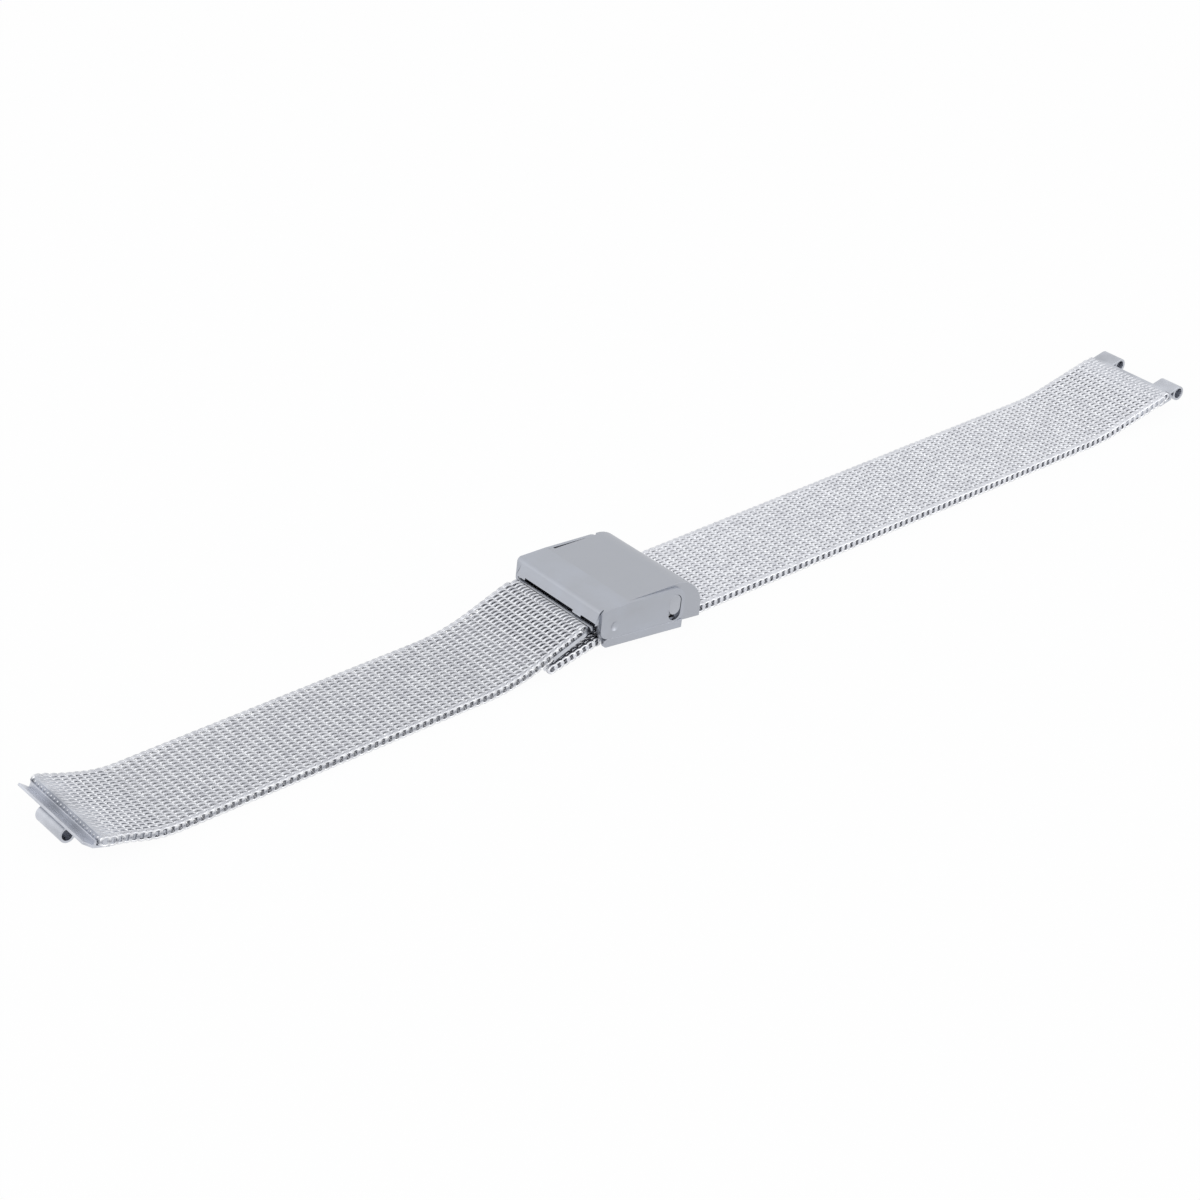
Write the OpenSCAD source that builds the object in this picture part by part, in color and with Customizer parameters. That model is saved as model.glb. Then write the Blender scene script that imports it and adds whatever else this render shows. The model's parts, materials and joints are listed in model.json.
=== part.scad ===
// Mesh watch bracelet with a sliding clasp, lying closed on a table.
// X runs along the band, Y across it, Z up. Z = 0 is the table, and the origin is the
// middle of the whole length. The short half lies towards -X and the long half towards +X.
// Every size is in millimetres and every angle in degrees.

/* [Band] */
// Width of the woven mesh
band_w = 16; // [12:0.5:24]
// Thickness of the woven mesh
band_t = 1.4; // [1.2:0.05:1.5]
// Length of one flat stretch of the mesh, from bending line to bending line
stretch_l = 17; // [14:0.25:20]
// Clearance between the round and the hollow end that meet at a bending line
bend_gap = 0.06; // [0.05:0.01:0.1]
// How far a hollow end is cut back from its bending line, so that it can turn
bend_relief = 0.45; // [0.4:0.05:0.6]
// Distance from one course of the weave to the next, along the band
course = 1.05; // [1:0.05:1.3]
// Width of the groove between two courses, at the face of the mesh
groove_w = 0.6; // [0.4:0.05:0.65]
// Depth of that groove
groove_d = 0.35; // [0.2:0.05:0.4]
// Length at each end of the band where the weave is soldered flat
flat_end = 2.5; // [2:0.1:4]

/* [Curled ends] */
// Flat mesh between the short half's last bending line and its curl
short_foot = 8; // [6:0.1:9]
// Radius of the curl at the end of the short half, to the middle of the mesh
short_curl_r = 16; // [14:0.5:24]
// Angle that the end of the short half curls up
short_curl = 18; // [15:0.5:24]
// Straight mesh beyond that curl
short_rise = 6.7; // [5:0.1:8]
// Flat mesh between the long half's last bending line and its curl
long_foot = 7.9; // [6:0.1:9]
// Radius of the curl at the end of the long half, to the middle of the mesh
long_curl_r = 30; // [24:1:40]
// Angle that the end of the long half curls up
long_curl = 11; // [9:0.5:15]
// Straight mesh beyond that curl
long_rise = 11.5; // [9:0.1:13]

/* [Raised stretches by the clasp] */
// Angle at which the short half climbs to the clasp
lift_angle = 18.5; // [16:0.5:20]
// Radius of the bend where the short half leaves the table
lift_r = 28; // [20:1:30]
// Flat mesh between that bend and the first bending line
lift_foot = 2.5; // [1.5:0.1:6]
// Straight mesh inside the clasp, behind the cover pin
grip_back = 6.5; // [6:0.1:7]
// Radius over which the tail bends down behind the clasp
tail_r = 22; // [20:0.5:24]
// Angle at which the tail runs down to the table
tail_drop = 11; // [11:0.5:14]
// Gap left under the tip of the tail
tail_gap = 0.02; // [0.01:0.01:0.1]

/* [Clasp body] */
// Angle at which the clasp leans on the band
clasp_tilt = 7.5; // [6.5:0.1:8.5]
// Thickness of the clasp's sheet
clasp_sheet = 0.45; // [0.35:0.01:0.5]
// Gap between an edge of the mesh and the clasp wall beside it
lane_gap = 0.15; // [0.1:0.01:0.3]
// Gap between a clasp wall and the cover arm outside it
arm_gap = 0.08; // [0.06:0.01:0.12]
// Distance from the mesh's bending line to the cover pin, along the band
pin_back = 4.76; // [4.5:0.01:5.2]
// Height of the cover pin above the middle of the mesh
pin_height = 2.3; // [2.2:0.05:2.6]
// Height of the roof above the cover pin
roof_height = 3.1; // [2.9:0.05:3.4]
// Slope of the roof along the band, falling towards the lip
roof_fall = 4.8; // [4:0.1:5.5]
// Radius of the roof's rolled end, outside
roll_r = 4.3; // [4.1:0.05:4.5]
// How far the rolled end starts beyond the pin
roll_start = 0.3; // [0.2:0.1:0.9]
// Width of the slit along the far edge of the roof
slit_w = 0.4; // [0.3:0.05:0.6]
// Length of that slit
slit_l = 7.3; // [5:0.1:7.4]
// Depth of that slit, from the roof's outer face at its front
slit_deep = 0.55; // [0.5:0.01:0.6]
// How far the rolled end stops above the mesh
roll_lift = 0.25; // [0.2:0.05:0.4]
// Length of the window behind the foot of each oblong hole
window_l = 1; // [0.6:0.1:1.2]
// Height of that window
window_h = 0.6; // [0.4:0.05:0.7]
// How far the window's top lies below the pin
window_drop = 1.2; // [1.1:0.05:1.3]
// Radius of the rounded front of a clasp wall
wall_front_r = 2.3; // [2:0.05:2.4]
// How far the wall's front stays behind the cover's lip
wall_gap = 0.05; // [0.03:0.01:0.1]
// Thickness of the tray's floor
tray_floor = 0.3; // [0.25:0.01:0.35]
// How far a clasp wall's lower edge lies above the mesh's underside, behind the pin
wall_lift = 0.4; // [0.35:0.05:0.5]
// Gap between the mesh and the tray's floor
floor_gap = 0.05; // [0.03:0.01:0.1]
// How far the tray's floor reaches behind the pin
tray_floor_back = 3.2; // [3:0.1:3.4]
// How far the tray's sides reach behind the pin
tray_back = 11.2; // [9:0.1:11.8]
// How far the tray reaches in front of the pin
tray_front = 1.55; // [1.2:0.05:1.9]

/* [Cover] */
// Distance from the pin to the front face of the lip
cover_reach = 12.5; // [12.2:0.1:13.5]
// Length of the cover's plate along the band
cover_plate = 4.6; // [4:0.1:5]
// Seam between the cover's plate and the roof
cover_seam = 0.16; // [0.14:0.01:0.2]
// Distance from the pin down to the lower edge of an arm
arm_drop = 2.1; // [1.95:0.05:2.15]
// How far an arm reaches past the pin
arm_nose = 1.6; // [1.4:0.05:1.7]
// Radius of an arm's upper corner past the pin
arm_nose_r = 1.9; // [1.5:0.1:2]
// Height of an arm's upper edge above the pin, there
arm_rear = 2.75; // [2.6:0.05:2.9]
// Radius of an arm's lower corner at the lip
arm_front_r = 1.4; // [1:0.1:1.6]
// How far the lip leans out from top to bottom
lip_lean = 0.6; // [0.4:0.05:0.7]
// Lip's far end, measured across the band from the middle
lip_far = 8.05; // [7.5:0.05:8.1]
// Outer side of the lip's near foot, where the corner is left open
lip_near = 5.6; // [5:0.1:6.5]
// Width of each of the lip's two feet
foot_w = 1.7; // [1.2:0.1:2.2]
// How far the lip is cut up beside its feet
foot_h = 0.3; // [0.25:0.05:0.5]
// Radius of the pressed dimple that snaps the cover shut
dimple_r = 1.2; // [1:0.1:1.6]
// Depth of that dimple
dimple_depth = 0.22; // [0.1:0.01:0.3]
// Distance from the pin back to the dimple
dimple_back = 10.15; // [9:0.05:10.5]
// How far the dimple lies below the pin
dimple_drop = 0.43; // [0.2:0.01:0.6]

/* [Pins and hook] */
// Diameter of the cover pin's shaft
pin_d = 1.4; // [1.2:0.05:1.6]
// Radial clearance of a pin in the piece that turns on it
pin_gap = 0.05; // [0.02:0.01:0.08]
// Width of the oblong hole in each cover arm
eye_w = 2; // [1.9:0.05:2.2]
// Height of that hole
eye_h = 3.7; // [3.5:0.05:3.8]
// Height of that hole's top above the pin
eye_top = 1.75; // [1.6:0.05:1.8]
// How far the pin's head stays inside the arm's outer face
head_sunk = 0.04; // [0.02:0.01:0.1]
// Clearance between that hole and the pin's oblong head
head_gap = 0.05; // [0.02:0.01:0.1]
// Height of the pin's oblong head
head_h = 2.85; // [2.6:0.05:3]
// Diameter of the bar that the hook catches
bar_d = 1.2; // [1:0.05:1.3]
// Distance from the cover pin back to the bar
bar_back = 9.6; // [9.4:0.1:9.8]
// Height of the bar above the cover pin
bar_up = 0.2; // [0.1:0.05:0.3]
// Thickness of the hook's sheet
hook_sheet = 0.45; // [0.35:0.01:0.5]
// Width of the hook's tongue
hook_w = 15; // [8:0.1:15.4]
// Gap between the hook's tongue and the end of the mesh
hook_step = 0.2; // [0.1:0.05:0.3]
// How far the hook's flange stands inside each edge of the mesh
flange_inset = 0.1; // [0.1:0.05:0.5]
// Height of the hook's flange on the end of the mesh
flange_h = 0.7; // [0.5:0.05:0.9]
// How far the middle of the mesh's end lies below the cover pin's height
end_drop = 0.5; // [0.4:0.05:0.6]
// Gap between the lip and the mesh's end, along the band
hook_room = 0.8; // [0.7:0.05:1]

/* [Lock lever] */
// Diameter of the lever's pin
lever_pin_d = 0.9; // [0.7:0.05:1]
// Distance from the cover pin back to the lever's pin
lever_back = 2.3; // [2.2:0.1:2.5]
// Radius of the lever's barrel
lever_barrel_r = 0.95; // [0.85:0.05:1]
// How far the lever stands inside each edge of the mesh
lever_inset = 0.5; // [0.3:0.1:1]
// Height of the handle's underside above the pin
handle_up = 0.1; // [0:0.05:0.15]
// Length of the lever's handle from its pin
lever_reach = 5.2; // [4:0.1:5.3]
// Radius of the cam's nose
nose_r = 0.35; // [0.25:0.05:0.45]
// How far the nose stands behind the lever's pin
nose_back = 0.5; // [0.4:0.05:0.7]
// Gap between the nose and the mesh
nose_gap = 0.03; // [0.02:0.01:0.08]

/* [End brackets] */
// Thickness of the brackets' sheet
end_sheet = 0.35; // [0.25:0.01:0.4]
// How far a bracket stands inside each edge of the mesh
end_inset = 0.3; // [0.2:0.1:1]
// Length of a bracket's leaf under the mesh
end_lap = 2; // [1:0.1:4]
// Outer radius of a rolled knuckle
knuckle_r = 1.1; // [1.05:0.01:1.2]
// Radius of the bore through a knuckle
bore_r = 0.75; // [0.7:0.01:0.8]
// How far the short half's knuckle stands beyond the mesh
short_knuckle_out = 0.85; // [0.8:0.05:1]
// How far it hangs below the middle of the mesh
short_knuckle_drop = 1.7; // [1.65:0.05:1.8]
// Width of that knuckle, in the middle of the band
short_knuckle_w = 5.8; // [4:0.1:6.4]
// Height of an end wall above the middle of the mesh
wall_up = 0.35; // [0.1:0.05:0.5]
// Length of the lip that rises from the foot of that wall
lip_l = 1.8; // [1.4:0.1:2]
// Angle of that lip from the mesh
lip_angle = 24; // [18:1:30]
// How far the long half's knuckles stand beyond the mesh
long_knuckle_out = 1.9; // [1.6:0.05:2.2]
// Width of each of the long half's two outer knuckles
long_knuckle_w = 3.6; // [2.5:0.1:4]

/* [Hidden] */
$fn = 64;

steel = [0.72, 0.73, 0.76];
satin = [0.62, 0.63, 0.66];
weave = [0.55, 0.56, 0.58];
over = 1; // how far a cutting shape runs past what it cuts
sliver = 0.01; // how far two joined shapes share a place
join = 0.2; // how far a straight shape runs into the bent one it joins

half_w = band_w / 2;
mid_z = band_t / 2;

// Layers across the band, from the mesh's edge outwards
wall_in = half_w + lane_gap;
wall_out = wall_in + clasp_sheet;
arm_in = wall_out + arm_gap;
arm_out = arm_in + clasp_sheet;

// Place of the cover pin, measured from the mesh's bending line at x = 0
pin_x = -pin_back * cos(clasp_tilt) + pin_height * sin(clasp_tilt);
pin_z = mid_z + pin_back * sin(clasp_tilt) + pin_height * cos(clasp_tilt);

// Heights in the clasp's own leaning frame, measured from the pin
mesh_top = -pin_height + mid_z;
mesh_bottom = -pin_height - mid_z;
tray_top = mesh_bottom - floor_gap;
tray_bottom = tray_top - tray_floor;
arm_bottom = -arm_drop;
band_top = arm_bottom - arm_gap;
function roof_at(u) = roof_height + u * tan(roof_fall);
roof_back = cover_reach - cover_plate - cover_seam;
roll_u = roll_start + roll_r * sin(roof_fall);
roll_w = roof_at(roll_start) - roll_r * cos(roof_fall);
wall_low = mesh_bottom + wall_lift;
roll_low = mesh_top + roll_lift;
front_u = -(cover_reach - wall_front_r - wall_gap);
front_w = tray_top + wall_front_r;
front_top = front_w + wall_front_r;

// The short half, from the hook down to the table
end_u = -(cover_reach + hook_room);
end_w = -end_drop;
end_x = pin_x + end_u * cos(clasp_tilt) + end_w * sin(clasp_tilt);
end_z = pin_z - end_u * sin(clasp_tilt) + end_w * cos(clasp_tilt);
lift_run = (end_z - mid_z - lift_r * (1 - cos(lift_angle))) / sin(lift_angle);
lift_x = end_x - lift_run * cos(lift_angle) - lift_r * sin(lift_angle);
short_bend_1 = lift_x - lift_foot;
short_bend_2 = short_bend_1 - stretch_l;
short_bend_3 = short_bend_2 - stretch_l;
short_curl_x = short_bend_3 - short_foot;
short_end_x = short_curl_x - short_curl_r * sin(short_curl) - short_rise * cos(short_curl);
short_end_z = mid_z + short_curl_r * (1 - cos(short_curl)) + short_rise * sin(short_curl);

// The long half, from the clasp to its end
long_bend_1 = 0;
long_bend_2 = stretch_l;
long_bend_3 = 2 * stretch_l;
long_bend_4 = 3 * stretch_l;
long_bend_5 = 4 * stretch_l;
long_curl_x = long_bend_5 + long_foot;
long_end_x = long_curl_x + long_curl_r * sin(long_curl) + long_rise * cos(long_curl);
long_end_z = mid_z + long_curl_r * (1 - cos(long_curl)) + long_rise * sin(long_curl);

// The tail behind the clasp
tail_turn = clasp_tilt + tail_drop;
tail_top_z = mid_z + (pin_back + grip_back) * sin(clasp_tilt);
tail_bent_z = tail_top_z + tail_r * (cos(tail_drop) - cos(clasp_tilt));
tail_run = (tail_bent_z - mid_z - tail_gap) / sin(tail_drop);

// The knuckles hang below the mesh's ends and turn with them
long_knuckle_drop = knuckle_r - wall_up;
fold_drop = mid_z + end_sheet;
function knuckle_reach(out, drop, curl) = out * cos(curl) + drop * sin(curl) + knuckle_r;
left_x = short_end_x - knuckle_reach(short_knuckle_out, short_knuckle_drop, short_curl);
right_x = long_end_x + knuckle_reach(long_knuckle_out, long_knuckle_drop, long_curl);
shift_x = -(left_x + right_x) / 2;

module placed() translate([shift_x, 0, 0]) children();

// The clasp's leaning frame, with its origin on the cover pin
module in_clasp() placed() translate([pin_x, 0, pin_z]) rotate([0, clasp_tilt, 0]) children();

// A side outline, drawn along the band and upwards, made solid from one y to another
module across(y0, y1) translate([0, y1, 0]) rotate([90, 0, 0]) linear_extrude(y1 - y0) children();

// A side outline made solid on both sides of the clasp, between two distances from its middle
module both_sides(inner, outer)
    for (y0 = [-outer, inner]) across(y0, y0 + outer - inner) children();

// A rod across the band
module rod(x, z, r, half) translate([x, half, z]) rotate([90, 0, 0]) cylinder(r = r, h = 2 * half);

// Places of the grooves between the courses on a length of mesh, set evenly about its middle
function grooves_along(length) =
    let (count = floor(length / course), first = (length - (count - 1) * course) / 2)
    [for (i = [0 : 1 : count - 1]) first + i * course];

// Two grooves across the band, one in each face of mesh whose middle is on the X axis
module groove_pair() for (side = [-1, 1])
    across(-half_w - over, half_w + over)
        polygon([[0, side * (mid_z - groove_d)], [groove_w, side * (mid_z + groove_d)],
                 [-groove_w, side * (mid_z + groove_d)]]);

// Cuts the grooves of straight mesh whose middle lies at a height
module coursed(from, to, z) difference() {
    union() children();
    for (along = grooves_along(to - from)) translate([from + along, 0, z]) groove_pair();
}

// Mesh bent in an arc about a line across the band, a sliver inside the straight mesh's faces
module bow(x, z, r, from, to) translate([x, 0, z]) difference() {
    rotate([90, 0, 0]) rotate([0, 0, from])
        rotate_extrude(angle = to - from, $fn = 128)
            translate([r - mid_z + sliver, sliver - half_w])
                square([band_t - 2 * sliver, band_w - 2 * sliver]);
    for (along = grooves_along(r * (to - from) * PI / 180))
        rotate([0, 90 - from - along / r * 180 / PI, 0]) translate([0, 0, r]) groove_pair();
}

// Straight mesh along X, with its middle at a height
module straight(from, to, z)
    translate([from, -half_w, z - mid_z]) cube([to - from, band_w, band_t]);

module flat(from, to) straight(min(from, to), max(from, to), mid_z);

// An end of the band along +X: flat, curled up, then straight, with a plain length at its tip
module rising_end(from, curl_x, r, curl, rise, plain) {
    coursed(from, curl_x, mid_z) flat(from, curl_x + join);
    bow(curl_x, mid_z + r, r, 270, 270 + curl);
    translate([curl_x + r * sin(curl), 0, mid_z + r * (1 - cos(curl))]) rotate([0, -curl, 0])
        coursed(0, rise - plain, 0) straight(-join, rise, 0);
}

// Cuts the hollow end of a stretch, round its bending line
module hollow(bend) difference() {
    children();
    rod(bend, mid_z, mid_z + bend_gap, half_w + over);
}

// A flat stretch with a hollow end on one bending line and a round end on the next
module stretch(bend, next) {
    start = bend + sign(next - bend) * bend_relief;
    hollow(bend) coursed(min(start, next), max(start, next), mid_z) {
        flat(start, next);
        rod(next, mid_z, mid_z, half_w);
    }
}

module short_mesh_1() color(weave) placed() {
    rod(short_bend_1, mid_z, mid_z, half_w);
    rising_end(short_bend_1, lift_x, lift_r, lift_angle, lift_run, 0);
}

module short_mesh_2() color(weave) placed() stretch(short_bend_1, short_bend_2);

module short_mesh_3() color(weave) placed() stretch(short_bend_2, short_bend_3);

module short_mesh_4() color(weave) placed() hollow(short_bend_3) mirror([1, 0, 0])
    rising_end(-short_bend_3 + bend_relief, -short_curl_x, short_curl_r, short_curl, short_rise,
               flat_end);

module long_mesh_tail() color(weave) in_clasp() {
    coursed(-grip_back, pin_back, -pin_height) {
        straight(-grip_back - join, pin_back, -pin_height);
        rod(pin_back, -pin_height, mid_z, half_w);
    }
    bow(-grip_back, -pin_height - tail_r, tail_r, 90, 90 + tail_turn);
    translate([-grip_back, 0, -pin_height - tail_r]) rotate([0, -tail_turn, 0])
        coursed(-tail_run, 0, tail_r) {
            straight(-tail_run, join, tail_r);
            rod(-tail_run, tail_r, mid_z, half_w);
        }
}

module long_mesh_1() color(weave) placed() stretch(long_bend_1, long_bend_2);

module long_mesh_2() color(weave) placed() stretch(long_bend_2, long_bend_3);

module long_mesh_3() color(weave) placed() stretch(long_bend_3, long_bend_4);

module long_mesh_4() color(weave) placed() stretch(long_bend_4, long_bend_5);

module long_mesh_5() color(weave) placed() hollow(long_bend_5)
    rising_end(long_bend_5 + bend_relief, long_curl_x, long_curl_r, long_curl, long_rise, flat_end);

// The leaf of a bracket that lies under the end of the mesh
module leaf() across(end_inset - half_w, half_w - end_inset)
    translate([-end_lap, -mid_z - end_sheet]) square([end_lap + sliver, end_sheet]);

// The wall of a bracket that covers the end of the mesh
module end_wall() across(end_inset - half_w, half_w - end_inset)
    translate([0, -fold_drop]) square([end_sheet, fold_drop + wall_up]);

// Turns a side outline into the lip's own frame, with the lip's underside along +X
module on_lip() translate([end_sheet, -fold_drop]) rotate(lip_angle) children();

// The lip that rises from the foot of the wall
module end_lip() across(end_inset - half_w, half_w - end_inset) {
    on_lip() square([lip_l, end_sheet]);
    translate([0, -fold_drop]) square([end_sheet + sliver, end_sheet]);
}

// Knuckle rolled down from the lip, with its flat side on the lip
module short_knuckle() across(-short_knuckle_w / 2, short_knuckle_w / 2) {
    on_lip() square([lip_l, end_sheet]);
    difference() {
        translate([short_knuckle_out, -short_knuckle_drop]) circle(r = knuckle_r);
        on_lip() translate([-2 * knuckle_r, end_sheet]) square(5 * knuckle_r);
    }
}

module short_end_bracket() color(steel) placed() mirror([1, 0, 0])
    translate([-short_end_x, 0, short_end_z]) rotate([0, -short_curl, 0]) difference() {
        union() {
            leaf();
            end_wall();
            end_lip();
            short_knuckle();
        }
        rod(short_knuckle_out, -short_knuckle_drop, bore_r, half_w);
    }

// Two knuckles, rolled down from strips that leave the wall's upper edge
module long_end_bracket() color(steel) placed()
    translate([long_end_x, 0, long_end_z]) rotate([0, -long_curl, 0]) difference() {
        outer = half_w - end_inset;
        union() {
            leaf();
            end_wall();
            for (y0 = [-outer, outer - long_knuckle_w])
                across(y0, y0 + long_knuckle_w) {
                    translate([0, wall_up - end_sheet]) square([long_knuckle_out, end_sheet]);
                    translate([long_knuckle_out, -long_knuckle_drop]) circle(r = knuckle_r);
                }
        }
        rod(long_knuckle_out, -long_knuckle_drop, bore_r, half_w);
    }

// The roof's rolled end, drawn in by a skin and a sliver inside the straight faces it meets
module roll_outline(skin) intersection() {
    translate([roll_u, roll_w]) circle(r = roll_r - skin - sliver, $fn = 128);
    translate([roll_start - join, roll_w - join]) square(2 * roll_r);
}

// Corners of the roof and of its rolled end, drawn in by a skin, from the rear forwards
function roof_corners(skin, low) =
    [[roll_u + roll_r - skin, low], [roll_u + roll_r - skin, roll_w], [roll_start, roll_w],
     [roll_start, roof_at(roll_start) - skin], [-roof_back, roof_at(-roof_back) - skin]];

// Side outline of a clasp wall: full height under the roof, lower and round under the cover
module wall_outline() {
    polygon(concat([[front_u, tray_top], [tray_front, tray_top], [tray_front, wall_low]],
                   roof_corners(0, wall_low), [[-roof_back, front_top], [front_u, front_top]]));
    roll_outline(0);
    translate([front_u, front_w]) circle(r = wall_front_r - sliver);
}

// Side outline of the room between the walls: under the roof, ahead of it and below the roll
module room_outline() {
    front = -cover_reach - over;
    rear = roll_u + roll_r + over;
    polygon(concat([[front, tray_top - over], [rear, tray_top - over], [rear, roll_low]],
                   roof_corners(clasp_sheet, roll_low),
                   [[-roof_back, roof_height + over], [front, roof_height + over]]));
    roll_outline(clasp_sheet);
}

module clasp_housing() color(satin) in_clasp() difference() {
    across(-wall_out, wall_out) wall_outline();
    across(-wall_in, wall_in) room_outline();
    rod(0, 0, pin_d / 2 + pin_gap, wall_out + over);
    rod(-bar_back, bar_up, bar_d / 2, wall_out + over);
    rod(-lever_back, 0, lever_pin_d / 2, wall_out + over);
    // Window behind the foot of each oblong hole
    translate([-window_l / 2, -wall_out - over, -window_drop - window_h])
        cube([window_l, 2 * (wall_out + over), window_h]);
    // Slit along the roof's far edge
    translate([roll_start - slit_l, wall_out - slit_w, roof_at(-slit_l) - slit_deep])
        cube([slit_l, slit_w + over, over + slit_deep]);
}

// Floor under the mesh, with a low side outside each clasp wall
module clasp_tray() color(satin) in_clasp() {
    translate([-tray_floor_back, -arm_out, tray_bottom])
        cube([tray_floor_back + tray_front, 2 * arm_out, tray_floor]);
    front_r = (band_top - tray_bottom) / 2;
    both_sides(wall_out, arm_out) {
        translate([-tray_back, tray_bottom]) square([tray_back + tray_front, 2 * front_r]);
        translate([-tray_back, tray_bottom + front_r]) circle(r = front_r);
    }
}

module hook_bar() color(steel) in_clasp() rod(-bar_back, bar_up, bar_d / 2, wall_out);

module lever_pin() color(steel) in_clasp() rod(-lever_back, 0, lever_pin_d / 2, wall_out);

// Cam lever that presses the mesh on the tray's floor
module lock_lever() color(steel) in_clasp() {
    half = half_w - lever_inset;
    nose_w = mesh_top + nose_gap + nose_r;
    nose_turn = atan2(nose_back, -nose_w);
    difference() {
        across(-half, half) {
            translate([-lever_back, 0]) circle(r = lever_barrel_r);
            translate([-lever_back - nose_back, nose_w]) circle(r = nose_r);
            translate([-lever_back, 0]) rotate(-nose_turn) translate([-nose_r, nose_w])
                square([2 * nose_r, -nose_w]);
            translate([-lever_back - lever_reach, handle_up]) square([lever_reach, clasp_sheet]);
        }
        rod(-lever_back, 0, lever_pin_d / 2 + pin_gap, half_w);
    }
}

// Side outline of the cover's plate
module plate_outline() {
    back = cover_plate - cover_reach;
    front = -cover_reach;
    polygon([[front, roof_at(front)], [back, roof_at(back)], [back, roof_at(back) - clasp_sheet],
             [front, roof_at(front) - clasp_sheet]]);
}

// Side outline of the lip, which leans out over the end of the mesh
module lip_outline() {
    front = -cover_reach;
    top = roof_at(front);
    polygon([[front, top], [front - lip_lean, 0], [front - lip_lean + clasp_sheet, 0],
             [front + clasp_sheet, top - clasp_sheet / 2], [front + clasp_sheet, top]]);
}

// Side outline of a cover arm, with its lower rear corner rounded about the pin
module arm_outline() intersection() {
    front = -cover_reach;
    corner_u = arm_nose - arm_nose_r;
    union() {
        polygon([[front, roof_at(front)], [-roof_back, roof_at(-roof_back)], [corner_u, arm_rear],
                 [corner_u, arm_bottom], [front + arm_front_r, arm_bottom],
                 [front + arm_front_r, arm_bottom + arm_front_r], [front, arm_bottom + arm_front_r]]);
        translate([front + arm_front_r, arm_bottom + arm_front_r]) circle(r = arm_front_r);
        translate([corner_u, arm_rear - arm_nose_r]) circle(r = arm_nose_r);
        translate([corner_u - sliver, arm_bottom])
            square([arm_nose_r + sliver, arm_rear - arm_nose_r - arm_bottom]);
    }
    union() {
        translate([front - over, -2 * arm_drop]) square([cover_reach + over, 4 * arm_drop]);
        translate([-over, 0]) square(2 * arm_drop);
        circle(r = arm_drop + arm_gap / 2);
    }
}

// Side outline of an oblong, standing on end round the cover pin
module oblong(w, h, top) {
    translate([0, top - w / 2]) circle(d = w);
    translate([0, top - h + w / 2]) circle(d = w);
    translate([-w / 2, top - h + w / 2]) square([w, h - w]);
}

module clasp_cover() color(satin) in_clasp() difference() {
    union() {
        across(-arm_out, arm_out) plate_outline();
        both_sides(arm_in, arm_out) arm_outline();
        across(-arm_in - sliver, lip_far) lip_outline();
    }
    // The lip is cut up between its two feet, and again at the near corner
    translate([-cover_reach - over, -lip_near + foot_w, -over])
        cube([clasp_sheet + over, lip_near + lip_far - 2 * foot_w, foot_h + over]);
    translate([-cover_reach - over, -arm_in, -over])
        cube([clasp_sheet + over, arm_in - lip_near, foot_h + over]);
    across(-arm_out - over, arm_out + over) oblong(eye_w, eye_h, eye_top);
    for (side = [-1, 1])
        translate([-dimple_back, side * (arm_out + dimple_r - dimple_depth), -dimple_drop])
            sphere(r = dimple_r);
}

// Shaft in the housing's walls, with an oblong head in each arm's eye
module cover_pin() color(steel) in_clasp() {
    rod(0, 0, pin_d / 2, arm_in + sliver);
    both_sides(arm_in, arm_out - head_sunk)
        oblong(eye_w - 2 * head_gap, head_h, eye_top - head_gap);
}

// Hook soldered to the short half's end: a flange, a tongue under the bar and a rolled tip
module short_hook() color(steel) {
    inner = bar_d / 2 + pin_gap;
    outer = inner + hook_sheet;
    in_clasp() across(-hook_w / 2, hook_w / 2) {
        translate([end_u + hook_step, bar_up - outer])
            square([-bar_back - end_u - hook_step, hook_sheet]);
        translate([-bar_back, bar_up]) difference() {
            circle(r = outer);
            circle(r = inner);
            translate([-outer - over, -outer - over]) square([outer + over, 2 * (outer + over)]);
        }
    }
    placed() translate([end_x, 0, end_z]) rotate([0, -lift_angle, 0])
        translate([0, flange_inset - half_w, -mid_z])
            cube([hook_sheet, band_w - 2 * flange_inset, flange_h]);
}

clasp_housing();
clasp_tray();
hook_bar();
lever_pin();
lock_lever();
clasp_cover();
cover_pin();
short_hook();
short_mesh_1();
short_mesh_2();
short_mesh_3();
short_mesh_4();
short_end_bracket();
long_mesh_tail();
long_mesh_1();
long_mesh_2();
long_mesh_3();
long_mesh_4();
long_mesh_5();
long_end_bracket();
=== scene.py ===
import bmesh
import bpy
import json
import math
from mathutils import Matrix, Vector


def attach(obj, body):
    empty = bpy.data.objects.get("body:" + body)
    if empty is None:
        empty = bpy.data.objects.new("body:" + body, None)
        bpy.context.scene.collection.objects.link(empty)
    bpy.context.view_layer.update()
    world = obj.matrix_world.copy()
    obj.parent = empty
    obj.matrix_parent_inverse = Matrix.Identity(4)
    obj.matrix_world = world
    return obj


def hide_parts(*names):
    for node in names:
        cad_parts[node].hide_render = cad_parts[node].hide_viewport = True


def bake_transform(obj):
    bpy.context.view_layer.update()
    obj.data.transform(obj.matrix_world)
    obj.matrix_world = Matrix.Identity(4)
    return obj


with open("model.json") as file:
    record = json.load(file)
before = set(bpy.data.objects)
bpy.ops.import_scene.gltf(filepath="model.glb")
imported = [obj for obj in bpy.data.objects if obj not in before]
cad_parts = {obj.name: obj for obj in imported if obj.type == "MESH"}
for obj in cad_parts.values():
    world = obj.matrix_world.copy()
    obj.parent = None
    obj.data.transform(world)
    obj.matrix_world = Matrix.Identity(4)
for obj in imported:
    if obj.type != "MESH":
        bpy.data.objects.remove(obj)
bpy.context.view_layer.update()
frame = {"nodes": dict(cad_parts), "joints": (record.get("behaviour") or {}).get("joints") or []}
mm = 0.001
joints = {joint["name"]: joint for joint in frame["joints"]}


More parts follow.
